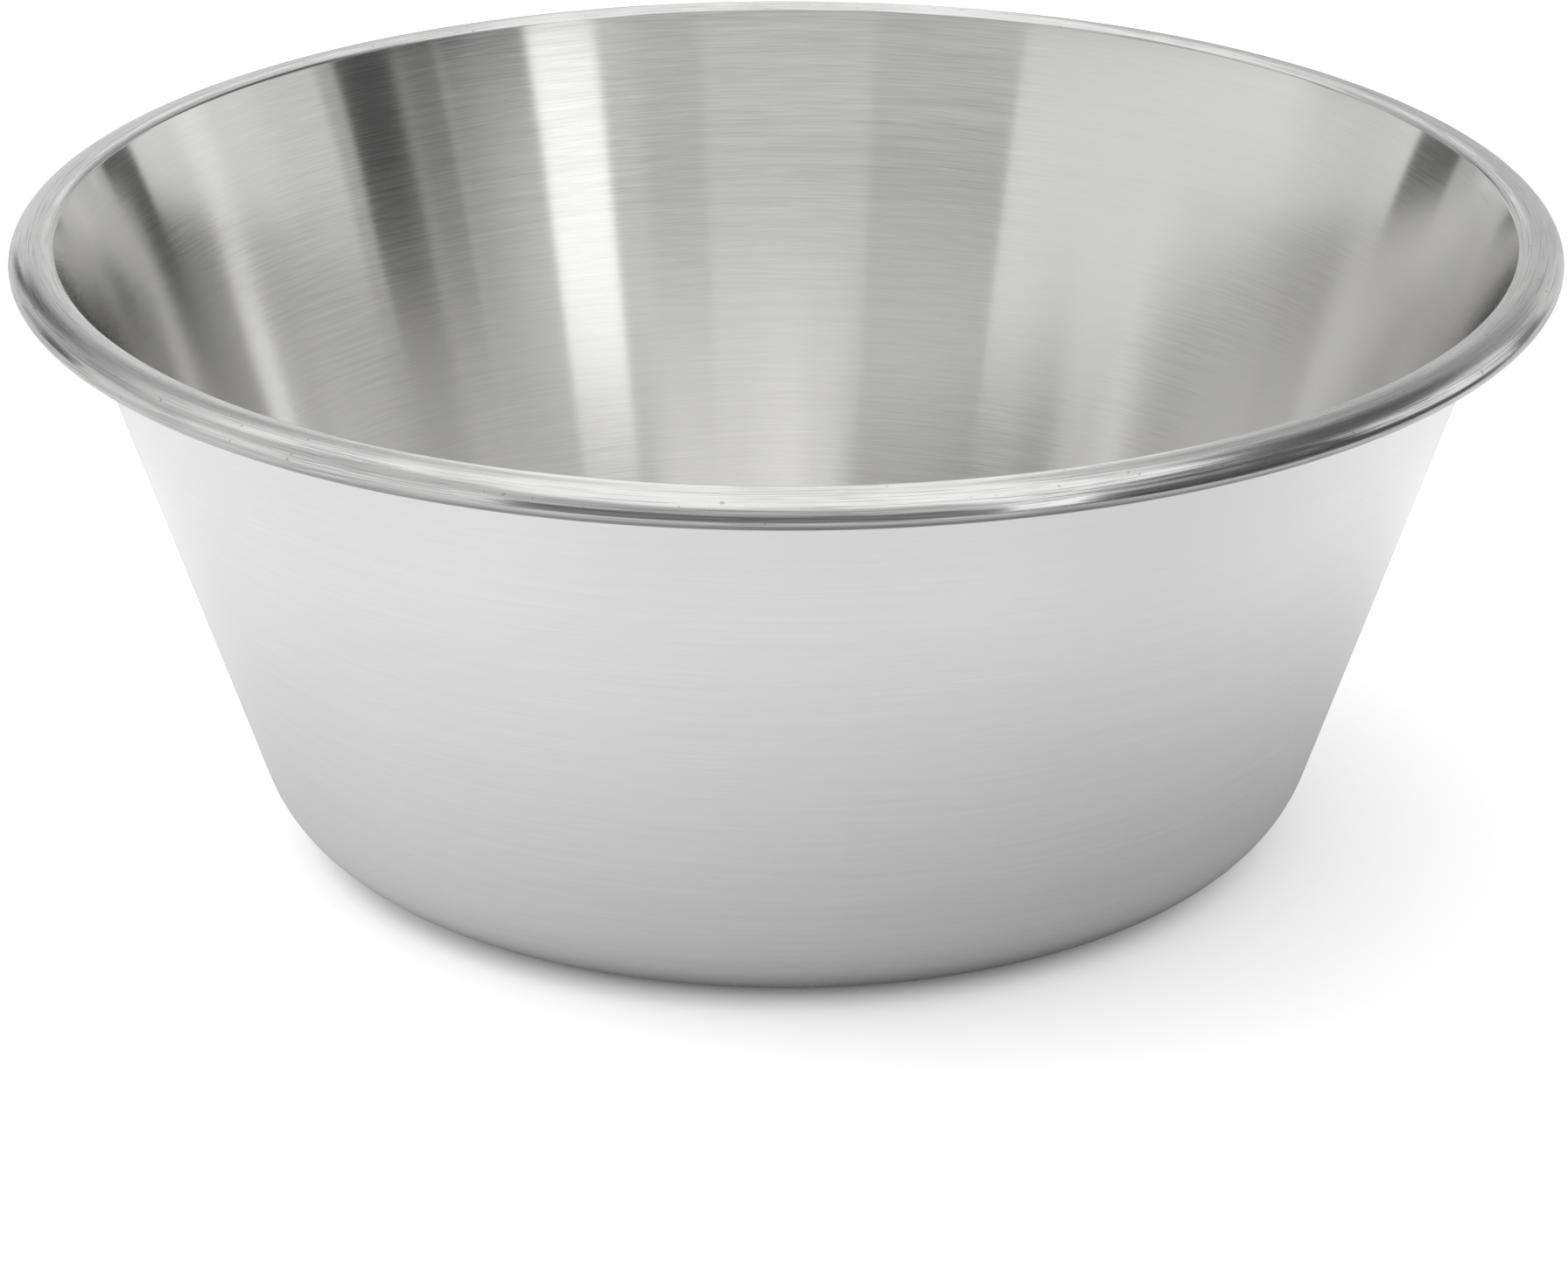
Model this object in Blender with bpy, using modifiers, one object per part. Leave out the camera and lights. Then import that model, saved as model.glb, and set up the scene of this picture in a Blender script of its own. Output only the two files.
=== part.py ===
"""Conical mixing bowl of brushed stainless steel with a wired, rolled rim.

One spun sheet makes the flat floor, the rounded knuckle, the straight flaring wall and the bead.
The bead is the sheet's own edge, curled outward and under round a hoop of steel wire.
Metres, +Z up. The origin is the middle of the underside, on the surface that the bowl stands on.
"""

from math import acos, atan2, cos, hypot, pi, radians, sin

import bpy

# Driving dimensions of the bowl
RIM_DIAMETER = 0.3200         # across the outside of the bead
HEIGHT = 0.1313               # from the underside of the floor to the top of the bead
WALL_ANGLE = radians(18.87)   # lean of the wall, from the vertical
KNUCKLE_RADIUS = 0.0260       # outside radius between the floor and the wall
SHEET = 0.0008                # thickness of the sheet

# Driving dimensions of the wired edge
BEAD_WIDTH = 0.0124           # from the inside of the wall to the outermost point of the bead
WIRE_DIAMETER = 0.0054
WIRE_CLEARANCE = 0.0003       # between the wire and the sheet, above it and below it
SEAM_GAP = 0.0004             # slit between the curled lip and the outside of the wall

# Facets
FACETS_AROUND = 80
KNUCKLE_FACETS = 8
BEAD_QUARTER_FACETS = 5
WIRE_FACETS = 12

# The bead's section is an ellipse, as high as the wire with the sheet over it and under it
BEAD_HEIGHT = WIRE_DIAMETER + 2 * (SHEET + WIRE_CLEARANCE)
BEAD_A = BEAD_WIDTH / 2
BEAD_B = BEAD_HEIGHT / 2
BEAD_RADIUS = RIM_DIAMETER / 2 - BEAD_A
BEAD_Z = HEIGHT - BEAD_B

STEEL = (0.62, 0.62, 0.63, 1.0)
WIRE_STEEL = (0.42, 0.42, 0.43, 1.0)


def clear_scene():
    for old in list(bpy.data.objects):
        bpy.data.objects.remove(old, do_unlink=True)


def metal(name, colour, roughness):
    material = bpy.data.materials.new(name)
    material.use_nodes = True
    shader = material.node_tree.nodes["Principled BSDF"]
    shader.inputs["Base Color"].default_value = colour
    shader.inputs["Metallic"].default_value = 1.0
    shader.inputs["Roughness"].default_value = roughness
    return material


def spread(start, end, count):
    """The values that cut the stretch from start to end into count equal steps."""
    return [start + (end - start) * i / count for i in range(count + 1)]


def on_bead(t):
    """Point on the outside of the bead: 0 is outermost, pi / 2 the top, pi the side at the wall."""
    return BEAD_RADIUS + BEAD_A * cos(t), BEAD_Z + BEAD_B * sin(t)


def sheet_profile():
    """Section of the sheet's inside face, from the axis outward and up.

    It crosses the floor, turns up the knuckle and climbs the wall, which runs without a break into
    the bead. There it goes over the top, down the outside and under, back to the wall.
    """
    lean = atan2(BEAD_B * sin(WALL_ANGLE), BEAD_A * cos(WALL_ANGLE))
    reach = hypot(BEAD_A * cos(WALL_ANGLE), BEAD_B * sin(WALL_ANGLE))

    # The wall leaves the bead where the bead's side leans as the wall does
    wall_t = pi - lean
    wall_r, wall_z = on_bead(wall_t)

    # The lip stops short of the outside of the wall by the slit
    lip_t = -acos((SEAM_GAP + SHEET) / reach - 1) - lean

    # The knuckle touches the floor and the wall
    bend = KNUCKLE_RADIUS - SHEET
    bend_z = SHEET + bend
    climb = (wall_z + bend * sin(WALL_ANGLE) - bend_z) / cos(WALL_ANGLE)
    bend_r = wall_r - climb * sin(WALL_ANGLE) - bend * cos(WALL_ANGLE)

    floor = [(0.0, SHEET)]
    knuckle = [
        (bend_r + bend * cos(angle), bend_z + bend * sin(angle))
        for angle in spread(-pi / 2, -WALL_ANGLE, KNUCKLE_FACETS)
    ]
    bead = [on_bead(wall_t)]
    quarters = [wall_t, pi / 2, 0.0, -pi / 2, lip_t]
    for start, end in zip(quarters, quarters[1:]):
        bead += [on_bead(t) for t in spread(start, end, BEAD_QUARTER_FACETS)[1:]]
    return floor + knuckle + bead


def make_shell(collection):
    """The sheet: its inside face is turned about the axis, and its thickness goes on behind it."""
    points = [(r, 0.0, z) for r, z in sheet_profile()]
    edges = [(i, i + 1) for i in range(len(points) - 1)]
    mesh = bpy.data.meshes.new("bowl_shell")
    mesh.from_pydata(points, edges, [])
    mesh.materials.append(metal("brushed_stainless", STEEL, 0.3))
    shell = bpy.data.objects.new("bowl_shell", mesh)
    collection.objects.link(shell)

    turn = shell.modifiers.new("Turn", "SCREW")
    turn.axis = "Z"
    turn.angle = 2 * pi
    turn.steps = turn.render_steps = FACETS_AROUND
    turn.use_merge_vertices = True
    turn.merge_threshold = 0.00001
    turn.use_smooth_shade = True

    thicken = shell.modifiers.new("Sheet", "SOLIDIFY")
    thicken.thickness = SHEET
    thicken.offset = -1.0
    thicken.use_even_offset = True


def make_wire(collection):
    """The hoop that the edge is rolled round, in the middle of the bead."""
    bpy.ops.mesh.primitive_torus_add(
        major_radius=BEAD_RADIUS,
        minor_radius=WIRE_DIAMETER / 2,
        major_segments=FACETS_AROUND,
        minor_segments=WIRE_FACETS,
        location=(0.0, 0.0, BEAD_Z),
    )
    wire = bpy.context.object
    wire.name = wire.data.name = "rim_wire"
    wire.data.materials.append(metal("wire_steel", WIRE_STEEL, 0.45))
    wire.data.shade_smooth()
    for other in list(wire.users_collection):
        other.objects.unlink(wire)
    collection.objects.link(wire)


def main():
    clear_scene()
    bowl = bpy.data.collections.new("mixing_bowl")
    bpy.context.scene.collection.children.link(bowl)
    make_shell(bowl)
    make_wire(bowl)


main()
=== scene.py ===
"""Looks of the conical mixing bowl: the finishes of its shell and wire, the studio and the camera.

Metres, +Z up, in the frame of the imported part. The photograph looks along +Y.
"""

from math import acos, atan2, cos, hypot, pi, radians, sin

import bpy
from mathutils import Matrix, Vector


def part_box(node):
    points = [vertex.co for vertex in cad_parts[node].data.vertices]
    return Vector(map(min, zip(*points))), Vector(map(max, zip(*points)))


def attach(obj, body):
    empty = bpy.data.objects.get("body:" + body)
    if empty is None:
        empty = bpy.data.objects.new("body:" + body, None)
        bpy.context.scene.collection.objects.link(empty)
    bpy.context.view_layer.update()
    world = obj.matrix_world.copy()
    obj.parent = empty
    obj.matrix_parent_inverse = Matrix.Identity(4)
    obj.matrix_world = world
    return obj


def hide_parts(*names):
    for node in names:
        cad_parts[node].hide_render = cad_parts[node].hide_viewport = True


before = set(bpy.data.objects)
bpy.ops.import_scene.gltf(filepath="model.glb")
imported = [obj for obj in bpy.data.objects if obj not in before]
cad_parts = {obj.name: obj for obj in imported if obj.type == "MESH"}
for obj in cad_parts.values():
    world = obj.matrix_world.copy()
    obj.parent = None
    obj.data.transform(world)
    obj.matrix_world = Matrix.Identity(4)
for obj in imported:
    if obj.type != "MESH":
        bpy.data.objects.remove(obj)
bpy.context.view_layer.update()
shell_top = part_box("bowl_shell")[1]

# The bowl, as in the part's source
RIM_RADIUS = shell_top.x
HEIGHT = shell_top.z
WALL_ANGLE = radians(18.87)    # from the vertical
KNUCKLE_RADIUS = 0.0260        # outside, between the floor and the wall
SHEET = 0.0008
BEAD_A = 0.0062                # half the bead's width
BEAD_B = 0.0038                # half its height
BEAD_RADIUS = RIM_RADIUS - BEAD_A
BEAD_Z = HEIGHT - BEAD_B
SEAM_GAP = 0.0004              # slit between the curled lip and the outside of the wall

# The top of the wall, which the part's solid has straight: it flares up to a crease at the bead
WALL_TOP_ANGLE = radians(25.5)
CREASE_RADIUS = 0.0010
CREASE_TURN = radians(116)     # where the crease runs into the bead, round the bead's section
LIP_ROOM = 0.0014              # how much sooner the lip ends, so that the slit stays open

# Facets of the dressed shell
FACETS_AROUND = 256
KNUCKLE_FACETS = 14
BEAD_QUARTER_FACETS = 12
WALL_FACETS = 6
FLARE_FACETS = 10
CREASE_FACETS = 6
FLOOR_FACETS = 3

# The photograph, in pixels, and the camera that took it
PHOTO_WIDTH = 1792
FOCAL_PIXELS = 8000
AXIS_PIXEL_X = 898.5           # where the bowl's axis crosses the picture
SENSOR_WIDTH = 36
CAMERA_PLACE = (0.0, -1.36992, 0.59855)
CAMERA_PITCH = 0.38792         # below the horizontal

# Colours
INSIDE_COLOUR = (0.695, 0.692, 0.683)
BEAD_COLOUR = (0.69, 0.69, 0.685)
OUTSIDE_COLOUR = (0.75, 0.75, 0.755)
WIRE_COLOUR = (0.50, 0.50, 0.505)
TABLE_COLOUR = (0.9, 0.9, 0.9, 1.0)
WHITE = (1.0, 1.0, 1.0, 1.0)
BLACK = (0.0, 0.0, 0.0, 1.0)

# The brushing: how it sways from level, and where it changes, as height plus radius and as x
STROKE_SWAY = 0.0012
SWAY_PATCH = 0.05
# Between these two climbs the brushing grows stronger and the painted light on the lower wall fades out
LOW_WALL_CLIMB = 0.175
HIGH_WALL_CLIMB = 0.255
FAINT_LEFT = (-0.125, -0.090)
FAINT_RIGHT = (0.044, 0.064)
ACROSS_STROKES = 0.25          # of a turn, from along the strokes to across them

# Other values of the finishes
MICRON = 1e-6
NOISE_RANGE = (0.3, 0.7)       # where most values of a noise texture lie
BEAD_ROUGHNESS = 0.15          # where it is least scuffed
BEAD_PAINTED_SHADE_TURNS = (radians(-25), radians(10))   # painted shade under the bead, lightening between these turns round the section

# The table: left, right, front and back edges
TABLE = (-1.5, 1.5, -0.25, 2.0)
TABLE_GLOW = 0.62              # makes it white to the camera
TABLE_SHADE = 0.12             # reach of the soft shade where the bowl stands close to the table
TABLE_SHADE_DEPTH = 0.4
MIRRORED_TABLE = 1.08          # how light the steel sees it near the bowl
MIRRORED_SIDES = (-0.14, 0.14)       # between these its shade gets deeper, away from the lamp
MIRRORED_SHADE = (0.60, 1.35)        # how deep
MIRRORED_POOL = (0.20, 0.42, 0.70)   # where its lit pool starts and stops to fade, and to what
MIRRORED_FLAG = (0.22, 0.25, 0.12)   # the same towards the flag at the right front
FLAG_BEARING = radians(47)

# The lamp: a soft box above the left side
LAMP_PLACE = (-0.75, -0.15, 1.2)
LAMP_SIZE = 0.8
LAMP_POWER = 6.0

# The studio's panels, each painted over those before it, in degrees: its left and right side, the
# width of their soft edges, its bottom and top, the width of their soft edges, and its strength.
# Front panels lean in at the top, as seen from the bowl, so that each shows on the brushed wall as
# one upright band. They are placed around a point behind the bowl, from where the camera stands.
# Back and high panels are placed around the bowl, from straight behind it and from the camera.
# Positive is towards +X in all.
ROOM_LIGHT = 0.52              # where no panel is
PANEL_PIVOT = cos(CAMERA_PITCH)
FRONT_PANELS = (
    ("low front", -21, 16.3, 2.0, -90, 13, 12, 0.28),
    ("dark lower edge of the front wall", -21, 16.3, 2.0, -6, 13, 10, 0.13),
    ("front wall", -20.4, 16.3, 0.5, 13, 46, 12, 0.66),
    ("middle of the front wall", -7.6, 7.3, 0.5, 13, 46, 12, 0.76),
    ("light edge of the front wall", 13.0, 16.3, 2.0, 0, 46, 12, 0.70),
    ("left box", -64.1, -20.4, 0.6, -40, 50, 16, 0.95),
    ("dull side of the left box", -64.1, -52.0, 16.0, -40, 50, 16, 0.80),
    ("dull top of the left box", -64.1, -20.4, 0.6, 41, 54, 8, 0.68),
    ("left gap", -71.5, -64.1, 1.2, -40, 14, 10, 0.10),
    ("dark flag", 22.3, 40.7, 0.5, -50, 52, 12, 0.14),
    ("grey part of the flag", 22.3, 35.3, 0.8, 9, 26, 8, 0.30),
    ("light part of the flag", 22.3, 30.5, 0.5, 8, 26, 8, 0.41),
    ("lightest part of the flag", 16.0, 27.0, 10.0, 8, 25, 8, 0.72),
    ("dark top of the flag", 22.3, 40.7, 0.5, 31, 52, 8, 0.10),
    ("light top of the flag", 22.3, 28.0, 2.0, 33, 58, 8, 0.36),
    ("thin stand before the flag", 33.9, 34.8, 0.5, 8, 30, 6, 0.34),
    ("thinner stand before the flag", 30.2, 30.8, 0.3, 8, 30, 6, 0.48),
    ("strip light", 16.3, 22.3, 0.8, -50, 50, 12, 0.85),
    ("bright part of the strip light", 16.3, 22.3, 0.8, -50, 30, 8, 1.46),
    ("shaded edge of the right box", 40.7, 42.7, 0.5, -10, 30, 10, 0.54),
    ("right box", 42.7, 68.5, 1.0, -10, 30, 10, 0.80),
    ("bright side of the right box", 50, 68.5, 6.0, -10, 30, 10, 0.89),
    ("bright core of the right box", 56.5, 60.5, 3.0, -10, 30, 10, 1.03),
    ("right gap", 68, 74, 1.2, -40, 14, 10, 0.10),
)
BACK_PANELS = (
    ("ceiling", -200, 200, 1, 45, 100, 12, 1.20),
    ("upper backdrop", -12, 9, 6, 34, 60, 6, 1.20),
    ("lower backdrop", -3, 3, 3, -20, 37, 8, 1.20),
    ("right side of the backdrop", 3, 40, 3, -10, 24, 8, 0.72),
    ("right shade", 4, 40, 4, 22, 34, 6, 0.38),
    ("dark upper right", 24, 88, 16, 33, 57, 8, 0.12),
    ("dark corner of the ceiling", 84, 118, 10, 48, 58, 5, 0.12),
    ("left side of the backdrop", -40, -3, 3, -10, 24, 8, 0.66),
    ("left shade", -80, -4, 8, 22, 36, 8, 0.46),
    ("left back gap", -30, -16, 6, 7, 28, 8, 0.10),
)
HIGH_PANELS = (
    ("upper left", -125, -40, 10, 30, 66, 10, 0.66),
    ("upper front", -45, 34, 8, 36, 60, 10, 0.50),
)

# Cards that stand nearer than the panels: two points of the foot, the height and the strength
CARDS = (
    ("edge_of_the_flag", (1.18, -0.32), (1.18, -0.14), 0.9, 0.09),
    ("right_backdrop_card", (0.10, 1.0), (0.60, 1.0), 0.50, 0.62),
    ("left_backdrop_card", (-0.60, 1.0), (-0.11, 1.0), 0.50, 0.78),
)


# Node helpers

def add(tree, kind, inputs=None, **settings):
    """A new node. Inputs are its sockets by name or number, each a value or another node's output."""
    new = tree.nodes.new(kind)
    for name, value in settings.items():
        setattr(new, name, value)
    for name, value in (inputs or {}).items():
        if isinstance(value, bpy.types.NodeSocket):
            tree.links.new(value, new.inputs[name])
        else:
            new.inputs[name].default_value = value
    return new


def math(tree, operation, first, second=0.0):
    """The result of one sum, product or other operation."""
    return add(tree, "ShaderNodeMath", {0: first, 1: second}, operation=operation).outputs[0]


def mix_of(tree, *shares):
    """The sum of values, each times its share."""
    total = 0.0
    for value, share in shares:
        total = math(tree, "ADD", total, math(tree, "MULTIPLY", value, share))
    return total


def smooth_step(tree, value, start, end, before=0.0, after=1.0):
    """Goes smoothly from before to after while value goes from start to end."""
    inputs = {"Value": value, "From Min": start, "From Max": end, "To Min": before, "To Max": after}
    return add(tree, "ShaderNodeMapRange", inputs, interpolation_type="SMOOTHSTEP").outputs[0]


# Shape of the shell

def spread(start, end, count):
    """The values that cut the stretch from start to end into count equal steps."""
    return [start + (end - start) * i / count for i in range(count + 1)]


def on_bead(t, inset):
    """Point on the bead, or inset under it: 0 is outermost, pi / 2 the top, pi the side at the wall."""
    normal_r, normal_z = BEAD_B * cos(t), BEAD_A * sin(t)
    size = hypot(normal_r, normal_z)
    return (
        BEAD_RADIUS + BEAD_A * cos(t) - inset * normal_r / size,
        BEAD_Z + BEAD_B * sin(t) - inset * normal_z / size,
    )


def crease(inset):
    """The tight bend from the top of the wall into the bead."""
    middle_r, middle_z = on_bead(CREASE_TURN, CREASE_RADIUS)
    bead_tilt = atan2(-BEAD_B * cos(CREASE_TURN), BEAD_A * sin(CREASE_TURN))
    size = CREASE_RADIUS - inset
    return [
        (middle_r - size * sin(tilt), middle_z + size * cos(tilt))
        for tilt in spread(pi / 2 - WALL_TOP_ANGLE, bead_tilt, CREASE_FACETS)
    ]


def wall_flare(wall_r, wall_z, inset):
    """The arc from the straight wall, whose line passes the given point, up to the crease."""
    end_r, end_z = crease(0.0)[0]
    offset = (end_r - wall_r) * cos(WALL_ANGLE) - (end_z - wall_z) * sin(WALL_ANGLE)
    radius = offset / (1 - cos(WALL_TOP_ANGLE - WALL_ANGLE))
    middle_r = end_r + radius * cos(WALL_TOP_ANGLE)
    middle_z = end_z - radius * sin(WALL_TOP_ANGLE)
    return [
        (middle_r - (radius - inset) * cos(angle), middle_z + (radius - inset) * sin(angle))
        for angle in spread(WALL_ANGLE, WALL_TOP_ANGLE, FLARE_FACETS)
    ]


def sheet_face(inset):
    """Section of one face of the sheet, from the axis out to the lip: floor, knuckle, wall and bead.

    Inset 0 gives the inside face, and the sheet's thickness the one behind it. The wall ends with
    its flare, and the bead starts with the crease.
    """
    # The straight wall's line touches the bead's oval at wall_t, as in the part's source
    lean = atan2(BEAD_B * sin(WALL_ANGLE), BEAD_A * cos(WALL_ANGLE))
    reach = hypot(BEAD_A * cos(WALL_ANGLE), BEAD_B * sin(WALL_ANGLE))
    wall_t = pi - lean
    lip_t = -acos((SEAM_GAP + SHEET + LIP_ROOM) / reach - 1) - lean

    wall_r, wall_z = on_bead(wall_t, 0.0)
    bend = KNUCKLE_RADIUS - SHEET
    bend_z = SHEET + bend
    climb = (wall_z + bend * sin(WALL_ANGLE) - bend_z) / cos(WALL_ANGLE)
    bend_r = wall_r - climb * sin(WALL_ANGLE) - bend * cos(WALL_ANGLE)

    face_z = SHEET - inset
    floor = [(r, face_z) for r in spread(0.0, bend_r, FLOOR_FACETS)]
    knuckle = [
        (bend_r + (bend + inset) * cos(angle), bend_z + (bend + inset) * sin(angle))
        for angle in spread(-pi / 2, -WALL_ANGLE, KNUCKLE_FACETS)
    ]
    flare = wall_flare(wall_r, wall_z, inset)
    foot, head = knuckle[-1], flare[0]
    wall = list(zip(spread(foot[0], head[0], WALL_FACETS), spread(foot[1], head[1], WALL_FACETS)))
    bead = crease(inset)
    quarters = [CREASE_TURN, pi / 2, 0.0, -pi / 2, lip_t]
    for start, end in zip(quarters, quarters[1:]):
        bead += [on_bead(t, inset) for t in spread(start, end, BEAD_QUARTER_FACETS)[1:]]
    return floor, knuckle[1:], wall[1:] + flare[1:], bead[1:]


def shell_section():
    """The closed section of the sheet and the finish of each step along it."""
    inside, bead_finish, outside = range(3)
    floor, knuckle, wall, bead = sheet_face(0.0)
    points = floor + knuckle + wall + bead
    finishes = [inside] * (len(points) - len(bead) - 1) + [bead_finish] * len(bead)

    floor, knuckle, wall, bead = sheet_face(SHEET)
    back = bead[::-1] + wall[::-1] + knuckle[::-1] + floor[::-1]
    finishes += [bead_finish] * len(bead)
    finishes += [outside] * (len(back) - len(bead))
    return points + back, finishes


def make_shell(materials):
    """The sheet, turned about the axis. Its first and last points lie on the axis."""
    section, finishes = shell_section()
    middle = section[1:-1]
    points = [(0.0, 0.0, section[0][1]), (0.0, 0.0, section[-1][1])]
    first_turned = len(points)
    for step in range(FACETS_AROUND):
        turn = 2 * pi * step / FACETS_AROUND
        points += [(r * cos(turn), r * sin(turn), z) for r, z in middle]

    def at(step, index):
        return first_turned + (step % FACETS_AROUND) * len(middle) + index

    faces = []
    for step in range(FACETS_AROUND):
        faces.append((0, at(step, 0), at(step + 1, 0)))
        for i in range(len(middle) - 1):
            faces.append((at(step, i), at(step, i + 1), at(step + 1, i + 1), at(step + 1, i)))
        faces.append((at(step, len(middle) - 1), 1, at(step + 1, len(middle) - 1)))

    mesh = bpy.data.meshes.new("spun_shell")
    mesh.from_pydata(points, [], faces)
    for material in materials:
        mesh.materials.append(material)
    mesh.polygons.foreach_set("material_index", finishes * FACETS_AROUND)
    mesh.shade_smooth()
    mesh.update()
    shell = bpy.data.objects.new("spun_shell", mesh)
    bpy.context.scene.collection.objects.link(shell)
    return shell


# Steel

def new_material(name):
    """A material, its nodes and its shader."""
    material = bpy.data.materials.new(name)
    material.use_nodes = True
    tree = material.node_tree
    return material, tree, tree.nodes["Principled BSDF"]


def cloud(tree, size, detail=1.0):
    """Soft patches of about this size, from 0 to 1 and 0.5 on average."""
    place = add(tree, "ShaderNodeTexCoord").outputs["Object"]
    return add(
        tree, "ShaderNodeTexNoise", {"Vector": place, "Scale": 1 / size, "Detail": detail}
    ).outputs[0]


def place_on_bowl(tree):
    """The point's x and y, how far it lies up the wall, and how far round the bead's section."""
    place = add(tree, "ShaderNodeTexCoord").outputs["Object"]
    x, y, z = add(tree, "ShaderNodeSeparateXYZ", {0: place}).outputs
    squares = math(tree, "ADD", math(tree, "MULTIPLY", x, x), math(tree, "MULTIPLY", y, y))
    radius = math(tree, "SQRT", squares)
    sway = cloud(tree, SWAY_PATCH)
    climb = math(tree, "ADD", math(tree, "ADD", z, radius), math(tree, "MULTIPLY", sway, STROKE_SWAY))
    rise = math(tree, "SUBTRACT", z, BEAD_Z)
    reach = math(tree, "SUBTRACT", radius, BEAD_RADIUS)
    roll = math(tree, "MULTIPLY", math(tree, "ARCTAN2", rise, reach), BEAD_A)
    return x, y, climb, roll


def streaks(tree, x, y, across, length, width, detail=1.0):
    """Strokes round the axis of about this length and width, from 0 to 1 and 0.5 on average."""
    stretched = add(tree, "ShaderNodeCombineXYZ", {
        0: math(tree, "DIVIDE", x, length),
        1: math(tree, "DIVIDE", y, length),
        2: math(tree, "DIVIDE", across, width),
    })
    return add(
        tree, "ShaderNodeTexNoise", {"Vector": stretched.outputs[0], "Scale": 1.0, "Detail": detail}
    ).outputs[0]


def grade(tree, value, low, high):
    """Takes noise to a range: its usual lowest value to low and its usual highest to high."""
    start, end = NOISE_RANGE
    inputs = {"Value": value, "From Min": start, "From Max": end, "To Min": low, "To Max": high}
    return add(tree, "ShaderNodeMapRange", inputs).outputs[0]


def finish_steel(tree, shader, colour, shade, roughness, height, anisotropy):
    """Brushed round the axis, so it blurs reflections along the wall and less around it.

    Shade multiplies the colour. Height is the grooves' height in metres.
    """
    tinted = add(tree, "ShaderNodeVectorMath", {0: colour, "Scale": shade}, operation="SCALE")
    bump = add(tree, "ShaderNodeBump", {"Height": height, "Distance": 1.0, "Strength": 1.0})
    around = add(tree, "ShaderNodeTangent", direction_type="RADIAL", axis="Z")
    shader.inputs["Metallic"].default_value = 1.0
    shader.inputs["Anisotropic"].default_value = anisotropy
    shader.inputs["Anisotropic Rotation"].default_value = ACROSS_STROKES
    tree.links.new(tinted.outputs[0], shader.inputs["Base Color"])
    tree.links.new(roughness, shader.inputs["Roughness"])
    tree.links.new(bump.outputs[0], shader.inputs["Normal"])
    tree.links.new(around.outputs[0], shader.inputs["Tangent"])


def inside_steel():
    """Brushed strokes of 1 to 4 cm, fainter down the wall; painted glints on scratches, painted light
    low down.
    """
    material, tree, shader = new_material("brushed_inside")
    x, y, climb, _ = place_on_bowl(tree)
    lines = streaks(tree, x, y, climb, length=0.009, width=0.0002)
    strokes = streaks(tree, x, y, climb, length=0.016, width=0.0005)
    bands = streaks(tree, x, y, climb, length=0.040, width=0.0025)
    grain = mix_of(tree, (lines, 0.35), (strokes, 0.45), (bands, 0.20))
    deep = streaks(tree, x, y, climb, length=0.016, width=0.0003, detail=0.0)
    scratches = smooth_step(tree, deep, start=0.66, end=0.74)

    up_the_wall = smooth_step(tree, climb, LOW_WALL_CLIMB, HIGH_WALL_CLIMB, before=0.35, after=1.0)
    at_the_left = smooth_step(tree, x, *FAINT_LEFT, before=0.30, after=1.0)
    at_the_right = smooth_step(tree, x, *FAINT_RIGHT, before=1.0, after=0.25)
    depth = math(tree, "MULTIPLY", up_the_wall, math(tree, "MULTIPLY", at_the_right, at_the_left))
    # The scratches are real marks, painted a little lighter as painted glints; they change only the
    # colour
    wear = mix_of(tree, (grade(tree, grain, low=-0.15, high=0.15), 1.0), (scratches, 0.05))
    # Painted light: the lower wall's colour is lifted by up to a fifth, fading out up the wall
    painted_low_wall_light = smooth_step(tree, climb, LOW_WALL_CLIMB, HIGH_WALL_CLIMB, before=1.20, after=1.0)
    shade = math(tree, "ADD", painted_low_wall_light, math(tree, "MULTIPLY", depth, wear))
    roughness = grade(tree, strokes, low=0.14, high=0.165)
    grooves = mix_of(tree, (lines, 3 * MICRON), (strokes, 6 * MICRON), (bands, 18 * MICRON))
    height = math(tree, "MULTIPLY", depth, grooves)
    finish_steel(tree, shader, INSIDE_COLOUR, shade, roughness, height, anisotropy=1.0)
    return material


def bead_steel():
    """Smooth, with fine lines, scuffed all round (scratches, pits, dull patches); underside painted
    darker as shade.
    """
    material, tree, shader = new_material("scuffed_bead")
    x, y, _, roll = place_on_bowl(tree)
    lines = streaks(tree, x, y, roll, length=0.020, width=0.00016)
    fine = streaks(tree, x, y, roll, length=0.014, width=0.00016, detail=0.0)
    deep = streaks(tree, x, y, roll, length=0.024, width=0.0002, detail=0.0)
    specks = cloud(tree, size=0.0012, detail=0.0)

    worn = smooth_step(tree, cloud(tree, size=0.03), start=0.36, end=0.56)
    fine_scratches = math(tree, "MULTIPLY", smooth_step(tree, fine, start=0.56, end=0.66), worn)
    deep_scratches = smooth_step(tree, deep, start=0.66, end=0.72)
    scratches = math(tree, "MAXIMUM", fine_scratches, deep_scratches)
    pits = smooth_step(tree, specks, start=0.80, end=0.84)
    marks = math(tree, "MAXIMUM", scratches, pits)

    # Painted shade: the bead's underside is darkened to half, fading out round towards its outer side
    start, end = (BEAD_A * turn for turn in BEAD_PAINTED_SHADE_TURNS)
    painted_underside_shade = smooth_step(tree, roll, start, end, before=0.5, after=1.0)
    wear = mix_of(tree, (grade(tree, lines, low=0.95, high=1.05), 1.0), (marks, -0.30))
    shade = math(tree, "MULTIPLY", wear, painted_underside_shade)
    roughness = mix_of(tree, (lines, 0.04), (worn, 0.02), (marks, 0.08), (BEAD_ROUGHNESS, 1.0))
    height = mix_of(tree, (lines, 2 * MICRON), (marks, -4 * MICRON))
    finish_steel(tree, shader, BEAD_COLOUR, shade, roughness, height, anisotropy=0.7)
    return material


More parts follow.
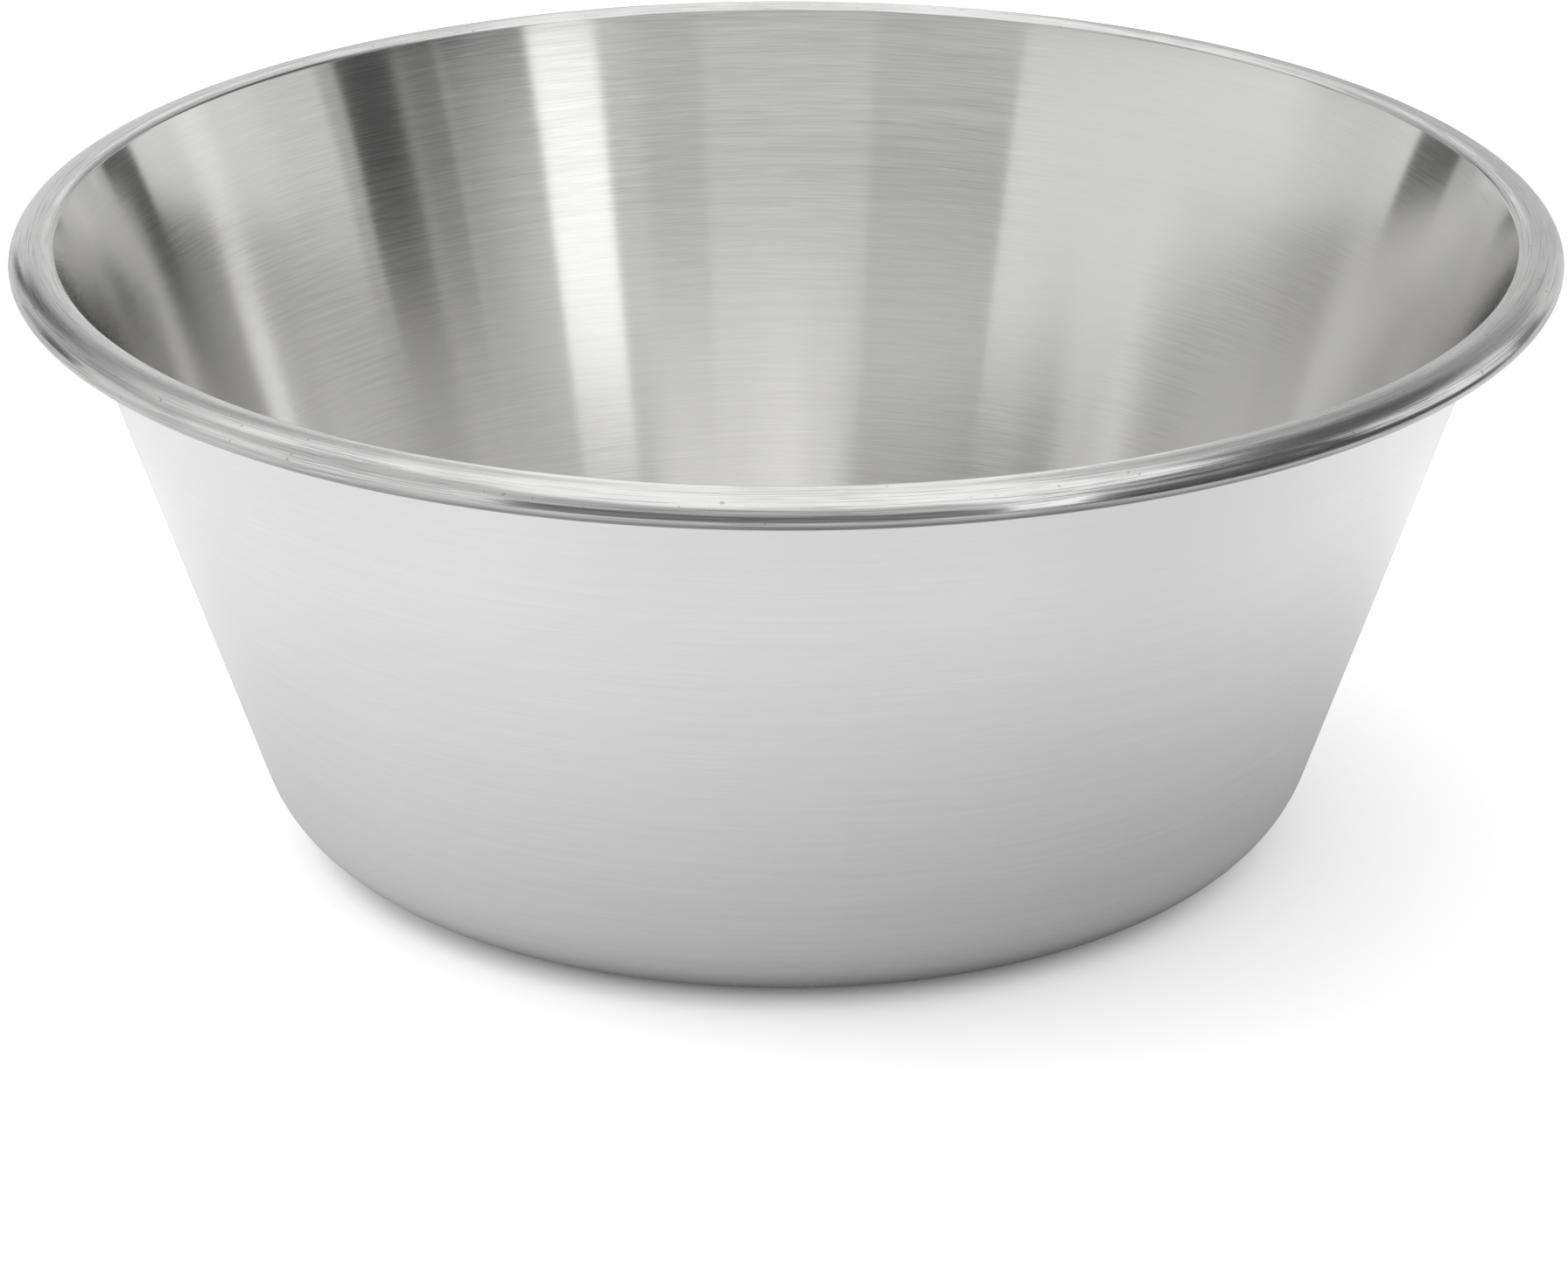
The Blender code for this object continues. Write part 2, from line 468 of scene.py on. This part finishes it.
def outside_steel():
    """Satin: very fine level lines and faint cloudy patches."""
    material, tree, shader = new_material("satin_outside")
    x, y, climb, _ = place_on_bowl(tree)
    lines = streaks(tree, x, y, climb, length=0.030, width=0.0003)
    bands = streaks(tree, x, y, climb, length=0.060, width=0.003)
    patches = cloud(tree, size=0.05)
    grain = mix_of(tree, (lines, 0.45), (bands, 0.25), (patches, 0.30))
    shade = grade(tree, grain, low=0.965, high=1.035)
    roughness = grade(tree, grain, low=0.20, high=0.24)
    height = mix_of(tree, (lines, 1 * MICRON), (bands, 2 * MICRON))
    finish_steel(tree, shader, OUTSIDE_COLOUR, shade, roughness, height, anisotropy=0.6)
    return material


def wire_steel():
    """Drawn wire: fine lines along it, and dull stains."""
    material, tree, shader = new_material("drawn_wire")
    x, y, _, roll = place_on_bowl(tree)
    lines = streaks(tree, x, y, roll, length=0.030, width=0.0002)
    stains = cloud(tree, size=0.006, detail=3.0)
    drawn = grade(tree, lines, low=0.9, high=1.1)
    stained = grade(tree, stains, low=0.7, high=1.1)
    shade = mix_of(tree, (drawn, 0.6), (stained, 0.4))
    roughness = grade(tree, stains, low=0.5, high=0.34)
    height = mix_of(tree, (lines, 3 * MICRON))
    finish_steel(tree, shader, WIRE_COLOUR, shade, roughness, height, anisotropy=0.4)
    return material


# Studio

def make_plane(name, corners, material):
    """A flat piece of the studio, given its four corners in their order round it."""
    mesh = bpy.data.meshes.new(name)
    mesh.from_pydata(corners, [], [(0, 1, 2, 3)])
    mesh.materials.append(material)
    plane = bpy.data.objects.new(name, mesh)
    bpy.context.scene.collection.objects.link(plane)
    return plane


def mirrored_table(tree, shade):
    """How light the steel sees the table: a lit pool round the bowl, shaded close to it."""
    place = add(tree, "ShaderNodeTexCoord").outputs["Object"]
    x, y, _ = add(tree, "ShaderNodeSeparateXYZ", {0: place}).outputs
    distance = add(tree, "ShaderNodeVectorMath", {0: place}, operation="LENGTH").outputs["Value"]
    start, end, low = MIRRORED_POOL
    pool = smooth_step(tree, distance, start, end, 1.0, low)
    start, end, low = MIRRORED_FLAG
    to_flag = mix_of(tree, (x, sin(FLAG_BEARING)), (y, -cos(FLAG_BEARING)))
    flag = smooth_step(tree, to_flag, start, end, 1.0, low)
    depth = smooth_step(tree, x, *MIRRORED_SIDES, *MIRRORED_SHADE)
    light = math(tree, "MULTIPLY", math(tree, "POWER", shade, depth), MIRRORED_TABLE)
    return math(tree, "MULTIPLY", light, math(tree, "MULTIPLY", pool, flag))


def white_table():
    """White to the camera, with a soft shade close to the bowl. The steel sees it in its own way."""
    material, tree, shader = new_material("white_table")
    rays = add(tree, "ShaderNodeLightPath").outputs
    shade = add(tree, "ShaderNodeAmbientOcclusion", {"Distance": TABLE_SHADE}, samples=4).outputs["AO"]
    seen = math(tree, "MULTIPLY", rays["Is Camera Ray"], TABLE_GLOW)
    glow = math(tree, "MULTIPLY", seen, math(tree, "POWER", shade, TABLE_SHADE_DEPTH))
    shader.inputs["Base Color"].default_value = TABLE_COLOUR
    shader.inputs["Roughness"].default_value = 1.0
    shader.inputs["Specular IOR Level"].default_value = 0.0
    shader.inputs["Emission Color"].default_value = WHITE
    tree.links.new(glow, shader.inputs["Emission Strength"])

    mirrored = add(tree, "ShaderNodeEmission", {"Strength": mirrored_table(tree, shade)})
    mirror_ray = math(tree, "MAXIMUM", rays["Is Glossy Ray"], rays["Is Transmission Ray"])
    surface = add(
        tree, "ShaderNodeMixShader", {0: mirror_ray, 1: shader.outputs[0], 2: mirrored.outputs[0]}
    )
    tree.links.new(surface.outputs[0], tree.nodes["Material Output"].inputs["Surface"])
    return material


def make_floor():
    """A white table that shows the bowl's shadow. Its front edge lies below the picture."""
    left, right, front, back = TABLE
    corners = [(left, front, 0.0), (right, front, 0.0), (right, back, 0.0), (left, back, 0.0)]
    floor = make_plane("table", corners, white_table())


def make_card(name, first, second, height, light):
    """A card that only the steel sees."""
    material, _, shader = new_material(name)
    shader.inputs["Base Color"].default_value = BLACK
    shader.inputs["Specular IOR Level"].default_value = 0.0
    shader.inputs["Emission Color"].default_value = WHITE
    shader.inputs["Emission Strength"].default_value = light

    corners = [(*first, 0.0), (*second, 0.0), (*second, height), (*first, height)]
    card = make_plane(name, corners, material)
    card.visible_camera = False
    card.visible_diffuse = False
    card.visible_shadow = False


def soft_box(tree, value, start, end, soft):
    """1 between start and end, and 0 outside them, with edges as wide as soft."""
    enter = smooth_step(tree, value, start - soft / 2, start + soft / 2)
    leave = smooth_step(tree, value, end - soft / 2, end + soft / 2, before=1.0, after=0.0)
    return math(tree, "MULTIPLY", enter, leave)


def paint_panels(tree, light, around, rise, panels):
    """The light with panels painted over it, one after the other."""
    for _, left, right, side_edge, bottom, top, end_edge, strength in panels:
        wide = soft_box(tree, around, radians(left), radians(right), radians(side_edge))
        high = soft_box(tree, rise, radians(bottom), radians(top), radians(end_edge))
        cover = math(tree, "MULTIPLY", wide, high)
        light = add(tree, "ShaderNodeMix", {"Factor": cover, "A": light, "B": strength}).outputs[0]
    return light


def make_world():
    """White to the camera. The steel and the table see a grey studio with light and dark panels."""
    world = bpy.data.worlds.new("studio")
    bpy.context.scene.world = world
    world.use_nodes = True
    tree = world.node_tree
    direction = add(tree, "ShaderNodeTexCoord").outputs["Generated"]
    x, y, z = add(tree, "ShaderNodeSeparateXYZ", {0: direction}).outputs
    rise = math(tree, "ARCSINE", z)
    lean = math(tree, "ARCTAN2", x, math(tree, "SUBTRACT", PANEL_PIVOT, y))
    from_back = math(tree, "ARCTAN2", x, y)
    from_front = math(tree, "ARCTAN2", x, math(tree, "MULTIPLY", y, -1.0))

    light = paint_panels(tree, ROOM_LIGHT, lean, rise, FRONT_PANELS)
    light = paint_panels(tree, light, from_back, rise, BACK_PANELS)
    light = paint_panels(tree, light, from_front, rise, HIGH_PANELS)

    rays = add(tree, "ShaderNodeLightPath").outputs
    seen = add(tree, "ShaderNodeMix", {"Factor": rays["Is Camera Ray"], "A": light, "B": 1.0})
    background = tree.nodes["Background"]
    background.inputs["Color"].default_value = WHITE
    tree.links.new(seen.outputs[0], background.inputs["Strength"])


def make_lamp():
    """A soft light for the table, which the steel doesn't mirror."""
    data = bpy.data.lights.new("lamp", "AREA")
    data.size = LAMP_SIZE
    data.energy = LAMP_POWER
    lamp = bpy.data.objects.new("lamp", data)
    lamp.location = LAMP_PLACE
    lamp.rotation_euler = (-Vector(LAMP_PLACE)).to_track_quat("-Z", "Y").to_euler()
    lamp.visible_glossy = False
    bpy.context.scene.collection.objects.link(lamp)


def make_camera():
    """The photograph's camera."""
    data = bpy.data.cameras.new("camera")
    data.sensor_width = SENSOR_WIDTH
    data.lens = SENSOR_WIDTH * FOCAL_PIXELS / PHOTO_WIDTH
    data.shift_x = (PHOTO_WIDTH / 2 - AXIS_PIXEL_X) / PHOTO_WIDTH
    camera = bpy.data.objects.new("camera", data)
    camera.location = CAMERA_PLACE
    camera.rotation_euler = (pi / 2 - CAMERA_PITCH, 0.0, 0.0)
    bpy.context.scene.collection.objects.link(camera)
    bpy.context.scene.camera = camera


# The dressed bowl

shell = make_shell([inside_steel(), bead_steel(), outside_steel()])
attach(shell, "root")
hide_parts("bowl_shell")
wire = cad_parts["rim_wire"]
wire.data.materials.clear()
wire.data.materials.append(wire_steel())

# The picture

make_floor()
make_world()
for card in CARDS:
    make_card(*card)
make_lamp()
make_camera()
bpy.context.scene.view_settings.view_transform = "Standard"
